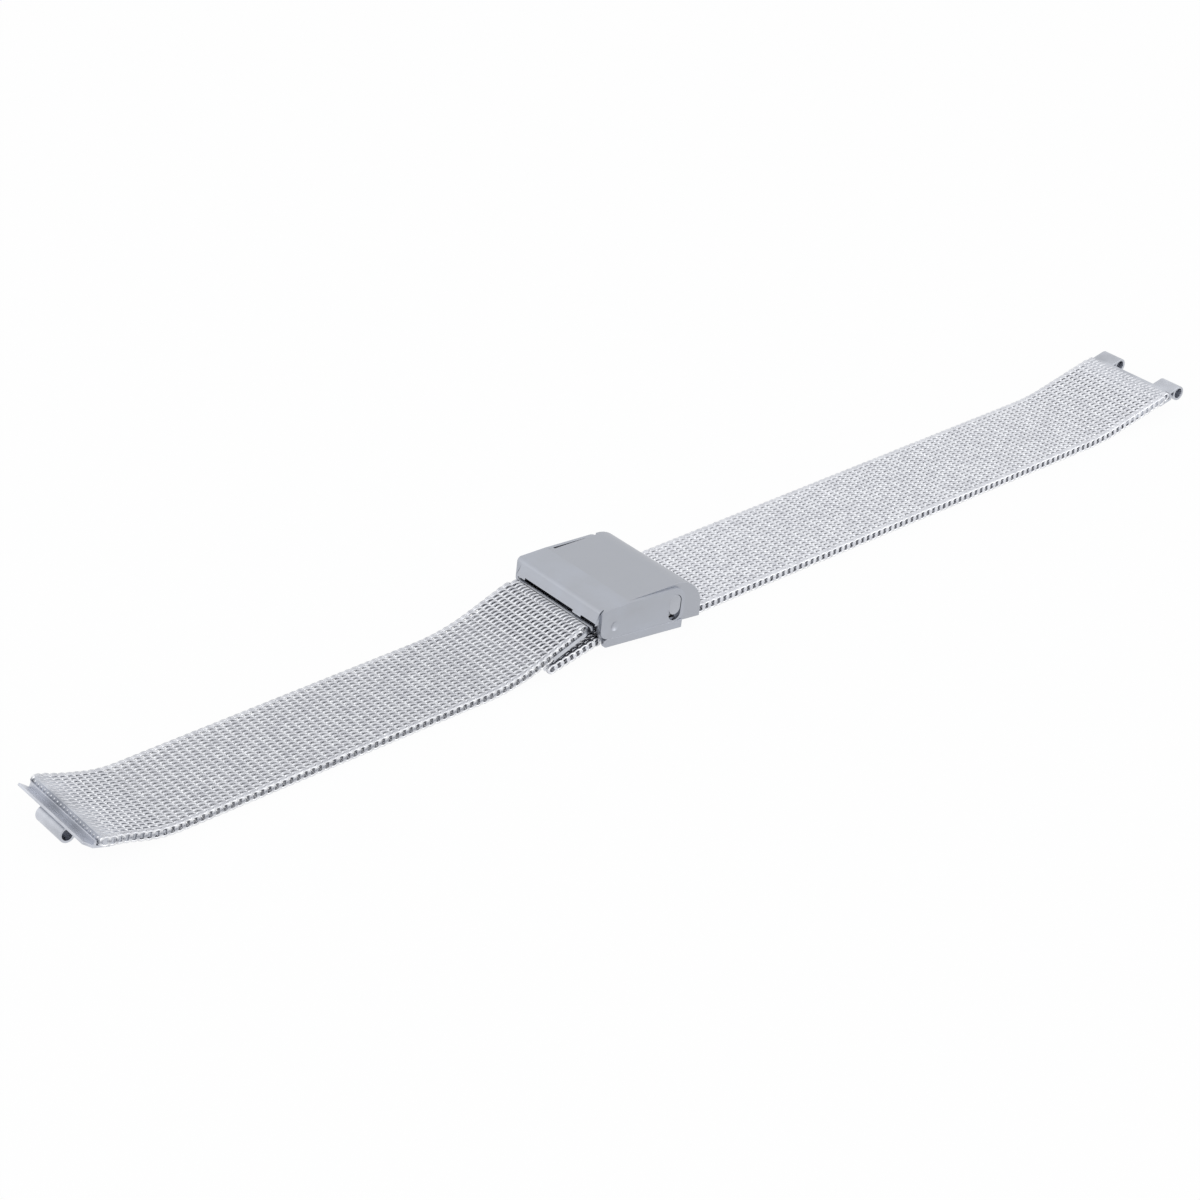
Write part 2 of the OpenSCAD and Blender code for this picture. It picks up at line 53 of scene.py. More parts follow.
# Colours are written as sRGB hex and turned to linear here
def colour(hexText, alpha=1.0):
    channels = [int(hexText[i:i + 2], 16) / 255 for i in (1, 3, 5)]
    return [c / 12.92 if c <= 0.04045 else ((c + 0.055) / 1.055) ** 2.4 for c in channels] + [alpha]


# Adds a node, sets its values by socket name and links its inputs
def addNode(tree, kind, settings=None, values=None, links=None):
    node = tree.nodes.new(kind)
    for name, value in (settings or {}).items():
        setattr(node, name, value)
    for name, value in (values or {}).items():
        node.inputs[name].default_value = value
    for name, source in (links or {}).items():
        tree.links.new(source, node.inputs[name])
    return node


def newMaterial(name):
    material = bpy.data.materials.new(name)
    material.use_nodes = True
    tree = material.node_tree
    tree.nodes.clear()
    return material, tree


def ramp(tree, source, stops):
    node = addNode(tree, "ShaderNodeValToRGB", links={"Fac": source})
    elements = node.color_ramp.elements
    while len(elements) < len(stops):
        elements.new(1.0)
    for element, (place, hexText) in zip(elements, stops):
        element.position = place
        element.color = colour(hexText)
    return node


softStops = (0.3, 0.7)       # shares of a cloud between which one tone passes into the next

wireFinish = {
    "bend": "#fafbfd",       # painted highlight where the wire turns down into the weave
    "shortShadedFace": "#cfd1d7",   # outer face of the wire on the short half, painted a shade darker
    "shortPaintedShade": "#a6a9b1",   # painted shade inside of its weave
    "longLitFace": "#e1e3e9",  # the same on the long half, painted lighter
    "longLitDeep": "#e6e8ee",
    "bendDepth": 0.35,       # how deep the wire's bend and its painted highlight lie, from the band's face 0 to its middle 1
    "faceRoughness": 0.3,
    "deepRoughness": 0.5,
    "spot": 0.9,             # mm, size of the slow change from wire to wire
    "spotDark": "#e6e6e8",   # these two are laid over the colours above
    "spotPale": "#ffffff",
}


# Bright drawn stainless wire, rolled flat on both faces: pale dashes with dark gaps between them, with a
# painted highlight on the bends and painted shade deeper in the weave
def wireSteel(name, face, deep):
    material, tree = newMaterial(name)
    depth = addNode(tree, "ShaderNodeAttribute", {"attribute_name": "depth"})
    place = addNode(tree, "ShaderNodeTexCoord")
    wear = addNode(tree, "ShaderNodeTexNoise",
                   values={"Scale": 1 / (wireFinish["spot"] * mm), "Detail": 2},
                   links={"Vector": place.outputs["Object"]})
    # The ramp over depth paints light and shade: a painted highlight at the bends, painted shade deeper
    # inside the weave
    shade = ramp(tree, depth.outputs["Fac"],
                 [(0.0, face), (wireFinish["bendDepth"], wireFinish["bend"]), (1.0, deep)])
    tint = ramp(tree, wear.outputs["Fac"],
                [(softStops[0], wireFinish["spotDark"]), (softStops[1], wireFinish["spotPale"])])
    mix = addNode(tree, "ShaderNodeMix", {"data_type": "RGBA", "blend_type": "MULTIPLY"}, {"Factor": 1.0})
    tree.links.new(shade.outputs["Color"], mix.inputs[6])
    tree.links.new(tint.outputs["Color"], mix.inputs[7])
    gloss = addNode(tree, "ShaderNodeMapRange",
                    values={"To Min": wireFinish["faceRoughness"], "To Max": wireFinish["deepRoughness"]},
                    links={"Value": depth.outputs["Fac"]})
    surface = addNode(tree, "ShaderNodeBsdfPrincipled", values={"Metallic": 1.0},
                      links={"Base Color": mix.outputs[2], "Roughness": gloss.outputs["Result"]})
    addNode(tree, "ShaderNodeOutputMaterial", links={"Surface": surface.outputs["BSDF"]})
    return material


satinFinish = {
    "cover": "#b2b6bf",
    "roof": "#adb0b7",       # painted a shade darker than the cover
    "ends": "#cdd0d8",       # stamped strip, painted paler than the clasp to lift the shade on its cut ends
    "leaf": "#dcdfe6",       # a strip under the mesh's end at the hook, painted bright as if lit through the open corner
    "solder": "#d2d5dc",     # pale and matt between the wires of both ends
    "pins": "#b9bcc3",       # smoother than the sheet, for the pins, the hook, its bar and the lever
    "warm": "#aeb1b8",       # tone of the soft clouds on all of these
    "cloud": 4.0,            # mm
    "roughness": 0.42,       # of the cover, the roof and the tray
    "endRoughness": 0.38,
    "leafRoughness": 0.35,
    "solderRoughness": 0.5,
    "pinRoughness": 0.3,
    "roughnessSpread": 0.05,
    "brushLine": 0.06,       # mm between brush lines, drawn a little coarse so that they show
    "brushLength": 3.0,      # mm
    "brushDepth": 0.004,     # mm
    "brushStrength": 0.12,
}


# Stainless sheet brushed fine along the band: a soft, even, slightly blue grey
def satinSteel(name, tone, roughness):
    material, tree = newMaterial(name)
    place = addNode(tree, "ShaderNodeTexCoord")
    stretch = addNode(tree, "ShaderNodeMapping",
                      values={"Scale": (1 / (satinFinish["brushLength"] * mm),
                                        1 / (satinFinish["brushLine"] * mm),
                                        1 / (satinFinish["brushLine"] * mm))},
                      links={"Vector": place.outputs["Object"]})
    lines = addNode(tree, "ShaderNodeTexNoise", values={"Scale": 1.0, "Detail": 3},
                    links={"Vector": stretch.outputs["Vector"]})
    cloud = addNode(tree, "ShaderNodeTexNoise",
                    values={"Scale": 1 / (satinFinish["cloud"] * mm), "Detail": 2},
                    links={"Vector": place.outputs["Object"]})
    base = ramp(tree, cloud.outputs["Fac"], [(softStops[0], tone), (softStops[1], satinFinish["warm"])])
    gloss = addNode(tree, "ShaderNodeMapRange",
                    values={"To Min": roughness - satinFinish["roughnessSpread"],
                            "To Max": roughness + satinFinish["roughnessSpread"]},
                    links={"Value": lines.outputs["Fac"]})
    bump = addNode(tree, "ShaderNodeBump",
                   values={"Strength": satinFinish["brushStrength"],
                           "Distance": satinFinish["brushDepth"] * mm},
                   links={"Height": lines.outputs["Fac"]})
    surface = addNode(tree, "ShaderNodeBsdfPrincipled", values={"Metallic": 1.0},
                      links={"Base Color": base.outputs["Color"], "Roughness": gloss.outputs["Result"],
                             "Normal": bump.outputs["Normal"]})
    addNode(tree, "ShaderNodeOutputMaterial", links={"Surface": surface.outputs["BSDF"]})
    return material


# The short half's wire is painted darker, with painted shade in its weave; the long half's is painted
# lighter
shortWire = wireSteel("drawn stainless wire, painted shade", wireFinish["shortShadedFace"], wireFinish["shortPaintedShade"])
longWire = wireSteel("drawn stainless wire, painted light", wireFinish["longLitFace"], wireFinish["longLitDeep"])
claspMetal = satinSteel("fine brushed stainless sheet", satinFinish["cover"], satinFinish["roughness"])
roofMetal = satinSteel("brushed stainless sheet, painted shade", satinFinish["roof"], satinFinish["roughness"])
endMetal = satinSteel("stamped stainless strip", satinFinish["ends"], satinFinish["endRoughness"])
leafMetal = satinSteel("stainless leaf, painted light", satinFinish["leaf"], satinFinish["leafRoughness"])
fillMetal = satinSteel("soft solder, buffed", satinFinish["solder"], satinFinish["solderRoughness"])
pinMetal = satinSteel("turned stainless pin", satinFinish["pins"], satinFinish["pinRoughness"])
print("materials made")


# Turns a bmesh into a piece, attached to a body if one is given
def finishPiece(bm, name, material, body, smoothAngle=35):
    shape = bpy.data.meshes.new(name)
    bm.to_mesh(shape)
    bm.free()
    shape.materials.append(material)
    shape.shade_smooth()
    if smoothAngle:
        shape.set_sharp_from_angle(angle=math.radians(smoothAngle))
    piece = bpy.data.objects.new(name, shape)
    bpy.context.scene.collection.objects.link(piece)
    if body:
        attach(piece, body)
    return piece


mesh = {
    "width": 16.0,           # mm, edge to edge
    "thickness": 1.4,
    "course": 1.05,          # about, from one spiral to the next; each half takes a whole number
    "turns": 10,             # of each wire, across the band
    "starts": 2,             # wires wound together in each spiral
    "wire": 0.4,
    "tipReach": 0.68,        # from a spiral's middle to the tip of its turn
    "steps": 12,             # round each turn
    "sides": 6,
    "rolled": 0.04,          # how much the rollers flatten each face
    "weld": 0.002,           # joins the turns of a wire
}


def vertsOf(items):
    return [item for item in items if isinstance(item, bmesh.types.BMVert)]


def edgesOf(items):
    return [item for item in items if isinstance(item, bmesh.types.BMEdge)]


def everything(bm):
    return bm.verts[:] + bm.edges[:] + bm.faces[:]


# One turn of wire round the Y axis, rising by the pitch
def windTurn(bm, reach, wire, flattened, pitch):
    ring = bmesh.ops.create_circle(bm, segments=mesh["sides"], radius=wire / 2,
                                   matrix=Matrix.Translation((reach, 0, 0)))
    bmesh.ops.scale(bm, verts=ring["verts"], vec=(1, flattened, 1))
    outline = []
    for vert in ring["verts"]:
        outline += [edge for edge in vert.link_edges if edge not in outline]
    bmesh.ops.spin(bm, geom=ring["verts"] + outline, cent=(0, 0, 0), axis=(0, -1, 0), angle=2 * math.pi,
                   dvec=(0, pitch / mesh["steps"], 0), steps=mesh["steps"])


# One spiral of wires across the band, cut flush and closed by a loop at each edge, pressed flat.
# Its faces are turned outward while the wire is whole: squashed ends would mislead that later
def windSpiral(flattened):
    bm = bmesh.new()
    depth = bm.verts.layers.float.new("depth")
    reach, wire = mesh["tipReach"] * mm, mesh["wire"] * mm
    ribbon = wire * flattened
    length = mesh["width"] * mm - ribbon
    pitch = length / (mesh["turns"] + 1 - 1 / mesh["starts"])
    windTurn(bm, reach, wire, flattened, pitch)
    one = everything(bm)
    for count in range(-1, mesh["turns"] + 1):
        if count == 0:
            continue
        copy = bmesh.ops.duplicate(bm, geom=one)["geom"]
        bmesh.ops.translate(bm, verts=vertsOf(copy), vec=(0, count * pitch, 0))
    bmesh.ops.remove_doubles(bm, verts=bm.verts, dist=mesh["weld"] * mm)
    bmesh.ops.holes_fill(bm, edges=[edge for edge in bm.edges if edge.is_boundary], sides=mesh["sides"])
    bmesh.ops.recalc_face_normals(bm, faces=bm.faces)
    if bm.calc_volume(signed=True) < 0:
        bmesh.ops.reverse_faces(bm, faces=bm.faces)
    wound = everything(bm)
    for count in range(1, mesh["starts"]):
        copy = bmesh.ops.duplicate(bm, geom=wound)["geom"]
        bmesh.ops.translate(bm, verts=vertsOf(copy), vec=(0, count * pitch / mesh["starts"], 0))
    for vert in bm.verts:
        vert.co.y = max(0.0, min(length, vert.co.y))
    for side in (0, length):
        before = set(bm.verts)
        windTurn(bm, reach, wire, flattened, 0.0)
        loop = [vert for vert in bm.verts if vert not in before]
        bmesh.ops.remove_doubles(bm, verts=loop, dist=mesh["weld"] * mm)
        loop = [vert for vert in bm.verts if vert not in before]
        bmesh.ops.translate(bm, verts=loop, vec=(0, side, 0))
        loopFaces = [face for face in bm.faces if face.verts[0] not in before]
        bmesh.ops.recalc_face_normals(bm, faces=loopFaces)
    face = mesh["thickness"] / 2 * mm
    press = (face + mesh["rolled"] * mm) / (reach + wire / 2)
    bmesh.ops.scale(bm, verts=bm.verts, vec=(1, 1, press))
    bmesh.ops.translate(bm, verts=bm.verts, vec=(0, -length / 2, 0))
    for vert in bm.verts:
        vert.co.z = max(-face, min(face, vert.co.z))
        # depth drives the painted highlight and the painted shade in the wire's material
        vert[depth] = 1 - abs(vert.co.z) / face
    spiral = bpy.data.meshes.new("spiral")
    bm.to_mesh(spiral)
    bm.free()
    return spiral


# Place and slope of the band's middle at a distance along its sections, each (length, bend)
def alongBand(distance, sections, heading=0.0):
    x = z = 0.0
    for length, bend in sections:
        step = min(distance, length)
        turned = math.radians(bend) * step / length
        if bend:
            radius = length / math.radians(bend)
            x += radius * (math.sin(heading + turned) - math.sin(heading))
            z += radius * (math.cos(heading) - math.cos(heading + turned))
        else:
            x += step * math.cos(heading)
            z += step * math.sin(heading)
        heading += turned
        distance -= step
        if distance <= 0:
            break
    return x, z, heading


# A bent section, from its radius in mm and its bend in degrees
def arc(radius, bend):
    return radius * math.radians(abs(bend)), bend


# Each half of the band, as (length in mm, bend in degrees) on both sides of its anchor
shortHalf = {
    "anchor": "short_bend_1",
    "right": [(2.5, 0), arc(28, 18.5), (8.49, 0)],
    "left": [(42.0, 0), arc(16, 18), (6.7, 0)],
    "leftSlope": 0.0,
    "flattened": 1.1,        # width of the wire over its thickness
    "metal": shortWire,
}
longHalf = {
    "anchor": "long_bend_1",
    "right": [(75.9, 0), arc(30, 11), (11.5, 0)],
    "left": [(11.26, 0), arc(22, -18.5), (6.47, 0)],
    "leftSlope": 7.5,        # degrees, at the kink where the band leaves the clasp
    "flattened": 1.5,
    "metal": longWire,
}
kinkSoftening = 3.0          # mm on either side of a kink in the middle line


# Matrix that puts a spiral on the band, at a distance from the half's anchor
def onBand(half, distance):
    anchor = Vector(joints[half["anchor"]]["pos_m"])

    def bare(s):
        if s >= 0:
            x, z, slope = alongBand(s, half["right"])
            return x, z, slope
        x, z, slope = alongBand(-s, half["left"], math.radians(half["leftSlope"]))
        return -x, z, -slope

    x, z, slope = bare(distance)
    if half["leftSlope"] and abs(distance) < kinkSoftening:
        t = (distance + kinkSoftening) / (2 * kinkSoftening)
        before, after = bare(-kinkSoftening), bare(kinkSoftening)
        x = (1 - t) ** 2 * before[0] + t * t * after[0]
        z = (1 - t) ** 2 * before[1] + t * t * after[1]
        slope = (1 - t) * before[2] + t * after[2]
    place = anchor + Vector((x, 0, z)) * mm
    return Matrix.Translation(place) @ Matrix.Rotation(-slope, 4, "Y")


tipRoom = 0.85               # mm, from each end of a half to the middle of its last spiral
for half in (shortHalf, longHalf):
    half["spiral"] = windSpiral(half["flattened"])
    half["start"] = -sum(length for length, bend in half["left"])
    half["end"] = sum(length for length, bend in half["right"])
    half["first"] = half["start"] + tipRoom
    length = half["end"] - tipRoom - half["first"]
    half["course"] = length / round(length / mesh["course"])


flare = {
    "length": 5.0,           # mm from the short half's outer end, where the band starts to widen
    "out": 0.75,             # mm on each side, at the end
}
pinch = {
    "length": 2.6,           # mm from the hook, where the mesh starts to thin
    "share": 0.32,           # of its thickness lost at the hook
}


# Thickness of the band near the hook over its plain thickness
def thinning(half, place, tip):
    if half is not shortHalf or tip < 0:
        return 1.0
    return 1 - pinch["share"] * max(0.0, 1 - abs(tip - place) / pinch["length"]) ** 2


# Width of the band near one of its ends over its plain width: corners rounded, short end flared
def widening(half, place, tip, corner):
    fromEnd = max(0.0, abs(tip - place))
    short = max(0.0, corner - fromEnd)
    out = -(corner - math.sqrt(corner ** 2 - short ** 2))
    if half is shortHalf and tip < 0:
        out += flare["out"] * max(0.0, 1 - fromEnd / flare["length"]) ** 2
    return 1 + 2 * out / mesh["width"]


# A length of mesh between two distances from its half's anchor
def weave(name, half, start, end, replaced, tip=None, corner=0.0):
    bm = bmesh.new()
    bm.from_mesh(half["spiral"])
    first = everything(bm)
    course, origin = half["course"], half["first"]
    for count in range(math.ceil((start - origin) / course), math.ceil((end - origin) / course)):
        verts = vertsOf(bmesh.ops.duplicate(bm, geom=first)["geom"])
        place = origin + count * course
        if corner:
            shaped = (1, widening(half, place, tip, corner), thinning(half, place, tip))
            bmesh.ops.scale(bm, verts=verts, vec=shaped)
        bmesh.ops.transform(bm, matrix=onBand(half, place), verts=verts)
    bmesh.ops.delete(bm, geom=vertsOf(first), context="VERTS")
    piece = finishPiece(bm, name, half["metal"], None, smoothAngle=0)
    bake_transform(piece)
    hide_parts(*replaced)


stretch = 17.0               # mm, from one bending line to the next
hookCorner = 2.2             # mm, rounding of the band's corners at the hook
endCorner = 1.6              # mm, the same at the two outer ends
hookEnd, shortEnd, longEnd = shortHalf["end"], shortHalf["start"], longHalf["end"]
weave("short_weave_1", shortHalf, -stretch / 2, hookEnd, ["short_mesh_1"],
      tip=hookEnd, corner=hookCorner)
weave("short_weave_2", shortHalf, -1.5 * stretch, -stretch / 2, ["short_mesh_2"])
weave("short_weave_3", shortHalf, shortEnd, -1.5 * stretch, ["short_mesh_3", "short_mesh_4"],
      tip=shortEnd, corner=endCorner)
weave("long_weave_1", longHalf, longHalf["start"], stretch / 2, ["long_mesh_tail"])
for number in (2, 3, 4):
    weave("long_weave_%d" % number, longHalf, (number - 1.5) * stretch, (number - 0.5) * stretch,
          ["long_mesh_%d" % (number - 1)])
weave("long_weave_5", longHalf, 3.5 * stretch, longEnd, ["long_mesh_4", "long_mesh_5"],
      tip=longEnd, corner=endCorner)
print("mesh woven")


solder = {
    "length": 9.5,           # mm, how far it soaks in from the end of the band
    "thin": 0.25,            # share of its thickness left where it fades out
    "half": 0.63,            # mm, half of its thickness at the end
    "inset": 0.25,           # mm inside the mesh's edges
    "setBack": 0.1,          # mm inside the mesh's end
    "corner": 1.2,
    "cornerSteps": 5,
    "step": 0.5,             # mm between its cross lines, which let it follow the band
    "endEdge": 0.01,         # mm, its end is left all but square
}
hookLeaf = {
    "length": 7.0,           # mm under the mesh
    "low": -0.7,             # mm from the band's middle
    "high": -0.4,
    "corner": 1.2,
    "rim": 0.15,             # mm, thickness of the rim that holds the mesh's cut edge
    "rimTop": -0.1,
    "rimCut": 0.5,           # mm cut off the leaf's inner end, so that it has no rim
}
samePlace = 0.01             # mm, closer than this is the same place


# A slab inside the mesh that follows the band, between two distances from the half's anchor
def bandSlab(name, half, start, end, halfWidth, low, high, thin, corner, material, body,
             rim=None):
    bm = bmesh.new()
    bmesh.ops.create_grid(bm, x_segments=1, y_segments=1, size=0.5)
    bmesh.ops.scale(bm, verts=bm.verts, vec=(abs(end - start), 2 * halfWidth, 1))
    bmesh.ops.translate(bm, verts=bm.verts, vec=((start + end) / 2, 0, low))
    tips = [vert for vert in bm.verts if abs(vert.co.x - end) < samePlace]
    bmesh.ops.bevel(bm, geom=tips, offset=corner, offset_type="OFFSET", affect="VERTICES",
                    segments=solder["cornerSteps"], profile=0.5, material=-1, clamp_overlap=True)
    top = bmesh.ops.extrude_face_region(bm, geom=bm.faces[:])["geom"]
    bmesh.ops.translate(bm, verts=vertsOf(top), vec=(0, 0, high - low))
    if rim:
        crown = [item for item in top if isinstance(item, bmesh.types.BMFace)]
        ring = bmesh.ops.inset_region(bm, faces=crown, thickness=rim["rim"])["faces"]
        raised = bmesh.ops.extrude_face_region(bm, geom=ring)["geom"]
        bmesh.ops.translate(bm, verts=vertsOf(raised), vec=(0, 0, rim["rimTop"] - high))
        bmesh.ops.delete(bm, geom=ring, context="FACES_ONLY")
        kept = bmesh.ops.bisect_plane(bm, geom=everything(bm), plane_co=(start + rim["rimCut"], 0, 0),
                                      plane_no=(1, 0, 0), clear_inner=True)["geom_cut"]
        bmesh.ops.holes_fill(bm, edges=edgesOf(kept), sides=0)
    for cut in range(1, int(abs(end - start) / solder["step"])):
        line = min(start, end) + cut * solder["step"]
        bmesh.ops.bisect_plane(bm, geom=everything(bm), plane_co=(line, 0, 0), plane_no=(1, 0, 0))
    bmesh.ops.recalc_face_normals(bm, faces=bm.faces)
    for vert in bm.verts:
        grown = thin + (1 - thin) * (vert.co.x - start) / (end - start)
        wide = widening(half, vert.co.x, end, solder["endEdge"])
        vert.co = onBand(half, vert.co.x) @ (Vector((0, vert.co.y * wide, vert.co.z * grown)) * mm)
    finishPiece(bm, name, material, body)


for name, half, end, body in (("short_end_solder", shortHalf, shortEnd, "s4"),
                              ("long_end_solder", longHalf, longEnd, "l5")):
    side = math.copysign(1, end)
    bandSlab(name, half, end - side * solder["length"], end - side * solder["setBack"],
             mesh["width"] / 2 - solder["inset"], -solder["half"], solder["half"], solder["thin"],
             solder["corner"], fillMetal, body)
bandSlab("hook_leaf", shortHalf, hookEnd - hookLeaf["length"], hookEnd, mesh["width"] / 2, hookLeaf["low"],
         hookLeaf["high"], 1.0, hookLeaf["corner"], leafMetal, "hook", hookLeaf)
print("ends soldered")


edges = {
    "flat": 0.5,             # degrees, up to which two faces count as one
    "angle": 25,             # degrees, past which an edge counts as sharp
    "foldAngle": 50,         # degrees, past which it may be a fold
    "foldRun": 4,            # a side fold runs this many times further along than across
    "weld": 0.015,           # mm, closes the hairline steps between flat and bent faces
    "dull": 0.06,            # mm, rounding of a cut edge of the sheet
    "dullSteps": 2,
    "fold": 0.45,            # mm, rounding of a folded edge
    "foldSteps": 8,
    "nose": 0.6,             # mm, rounding of the fold at the front of the cover
    "toe": 1.5,              # mm, rounding of its arms' lower front corners
}


clasp = {
    "tilt": 7.5,             # degrees, how the clasp leans on the band
    "pin": Vector(joints["cover_hinge"]["pos_m"]),
    "plateBack": -7.9,       # mm along the clasp from its pin, rear edge of the cover's plate
    "plateFront": -12.3,     # mm, the front edges of the cover lie before this
    "plateLow": 1.75,        # mm above the pin, the roof's and the plate's folds lie above this
    "seamLow": 1.8,          # mm above the pin, the plate's rear edge lies above this
    "seamClosed": 0.15,      # mm, how far the plate is drawn out to its neighbour
    "foldOut": 8.55,         # mm from the middle of the clasp, the side folds lie past this
    "noseWidth": 1.0,        # mm, the front fold is longer than this
    "toeHigh": -0.5,         # mm above the pin, the arms' lower corners lie below this
    "toeThin": 0.3,          # mm, an arm's edge across its sheet is longer than this
    "toeThick": 0.6,         # mm, and shorter than this
    "armInside": 8.68,       # mm from the middle of the clasp
    "armClosed": 0.07,       # mm, how far each arm is drawn in
    "trayTop": -2.18,        # mm above the pin, top of the tray's sides
    "trayClosed": 0.06,      # mm, how far they are raised
    "near": 0.02,            # mm, closer than this lies in the same plane
    "nearPlate": 0.05,       # mm, the same at the plate's rear edge
    "lipLow": 0.35,          # mm above the pin, below this the cover's lip is its hem
    "lipFront": -12.53,      # mm along the clasp from its pin, and the hem lies before this
    "hemOut": 0.12,          # mm, how far the hem leans out over the mesh
}
flange = {
    "start": -92.7,          # mm along X, between the short bracket's roll and its flange
    "top": 3.7,              # mm above the table, what stands higher there is the upper edge
    "lowered": 0.4,          # mm
}
toClasp = Matrix.Rotation(-math.radians(clasp["tilt"]), 4, "Y") @ Matrix.Translation(-clasp["pin"])


# Place of a mesh's corner in the clasp's own leaning frame, in mm
def claspPlace(vert):
    return toClasp @ vert.co / mm


# A copy of a CAD node with its sharp edges rounded
def dress(node, material, body, shape=None, folds=None, nose=None, toe=None):
    bm = bmesh.new()
    bm.from_mesh(frame["nodes"][node].data)
    bmesh.ops.remove_doubles(bm, verts=bm.verts, dist=edges["weld"] * mm)
    bmesh.ops.dissolve_limit(bm, angle_limit=math.radians(edges["flat"]), verts=bm.verts, edges=bm.edges)
    if shape:
        shape(bm)
    for rule, rounding in ((nose, edges["nose"]), (toe, edges["toe"]), (folds, edges["fold"])):
        chosen = [edge for edge in bm.edges if rule and len(edge.link_faces) == 2
                  and edge.calc_face_angle(0) > math.radians(edges["foldAngle"]) and rule(edge)]
        bmesh.ops.bevel(bm, geom=chosen, offset=rounding * mm, offset_type="OFFSET", affect="EDGES",
                        segments=edges["foldSteps"], profile=0.5, material=-1, clamp_overlap=rule is folds)
    sharp = [edge for edge in bm.edges if len(edge.link_faces) == 2
             and edge.calc_face_angle(0) > math.radians(edges["angle"])]
    bmesh.ops.bevel(bm, geom=sharp, offset=edges["dull"] * mm, offset_type="OFFSET",
                    affect="EDGES", segments=edges["dullSteps"], profile=0.5, material=-1,
                    clamp_overlap=True)
    piece = finishPiece(bm, node + "_dressed", material, body)
    weighted = piece.modifiers.new("flat faces shade flat", "WEIGHTED_NORMAL")
    weighted.keep_sharp = True
    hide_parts(node)


# Folded edges of the clasp: the long edges of its roof and plate
def claspFold(edge):
    a, b = [claspPlace(vert) for vert in edge.verts]
    along = abs(a.x - b.x) > edges["foldRun"] * abs(a.y - b.y)
    return min(a.z, b.z) > clasp["plateLow"] and along and min(abs(a.y), abs(b.y)) > clasp["foldOut"]


# The plate's front edge, where it turns down into the lip
def coverNose(edge):
    a, b = [claspPlace(vert) for vert in edge.verts]
    front = min(a.z, b.z) > clasp["plateLow"] and max(a.x, b.x) < clasp["plateFront"]
    return front and abs(a.y - b.y) > clasp["noseWidth"]


# Lower front corner of each of the cover's arms
def armToe(edge):
    a, b = [claspPlace(vert) for vert in edge.verts]
    corner = max(a.z, b.z) < clasp["toeHigh"] and max(a.x, b.x) < clasp["plateFront"]
    return corner and clasp["toeThin"] < abs(a.y - b.y) < clasp["toeThick"]


# Draws the cover out over the hairline gaps beside it
def closeCover(bm):
    for vert in bm.verts:
        place = claspPlace(vert)
        if abs(place.x - clasp["plateBack"]) < clasp["nearPlate"] and place.z > clasp["seamLow"]:
            vert.co.x += clasp["seamClosed"] * mm
        if abs(abs(vert.co.y) / mm - clasp["armInside"]) < clasp["near"]:
            vert.co.y -= math.copysign(clasp["armClosed"] * mm, vert.co.y)
        if place.z < clasp["lipLow"] and place.x < clasp["lipFront"]:
            vert.co.x -= clasp["hemOut"] * mm


# Draws the tray's sides up to the cover's arms
def closeTray(bm):
    for vert in bm.verts:
        if abs(claspPlace(vert).z - clasp["trayTop"]) < clasp["near"]:
            vert.co.z += clasp["trayClosed"] * mm


# Lets the mesh's end stand above the flange in front of it
def lowerFlange(bm):
    for vert in bm.verts:
        if flange["top"] < vert.co.z / mm and vert.co.x / mm > flange["start"]:
            vert.co.z -= flange["lowered"] * mm


dress("clasp_housing", roofMetal, "clasp", folds=claspFold)
dress("clasp_cover", claspMetal, "cover", closeCover, claspFold, coverNose, armToe)
dress("clasp_tray", claspMetal, "clasp", closeTray)
dress("cover_pin", pinMetal, "cover")
dress("short_hook", pinMetal, "hook")
dress("lock_lever", pinMetal, "lever")
dress("hook_bar", pinMetal, "clasp")
dress("lever_pin", pinMetal, "clasp")
dress("short_end_bracket", endMetal, "s4", lowerFlange)
dress("long_end_bracket", endMetal, "l5")
print("clasp and ends dressed")


studio = {
    "sky": 0.8,                        # strength of the light from all around
    "skyTint": (0.97, 0.98, 1, 1),     # linear, a trace of blue
    "floor": "#f0f0f0",
    "floorRoughness": 0.9,
    "floorSize": 3.0,                  # m
    "floorDrop": 0.02,                 # mm below the bracelet
    "whiteness": 0.96,                 # share of the floor that is plain white, the rest takes shadow
    "keyPlace": (-0.6, 0.1, 0.5),      # m, high, past the short half's end
    "keySize": 0.9,                    # m
    "keyPower": 1.3,                   # W
    "fillPlace": (0.45, -0.5, 0.15),   # m, low, on the near side towards the long half
    "fillSize": 0.5,                   # m
    "fillPower": 0.8,                  # W
}


# 1 for what the camera sees, straight or in a gloss, and 0 for what only lights the bracelet
def seenDirectly(tree):
    path = addNode(tree, "ShaderNodeLightPath")
    seen = addNode(tree, "ShaderNodeMath", {"operation": "MAXIMUM"},
                   links={0: path.outputs["Is Camera Ray"], 1: path.outputs["Is Glossy Ray"]})
    return seen.outputs[0]


def mixShaders(tree, share, first, second):
    mix = addNode(tree, "ShaderNodeMixShader")
    for socket, source in zip(mix.inputs, (share, first, second)):
        tree.links.new(source, socket)
    return mix.outputs[0]


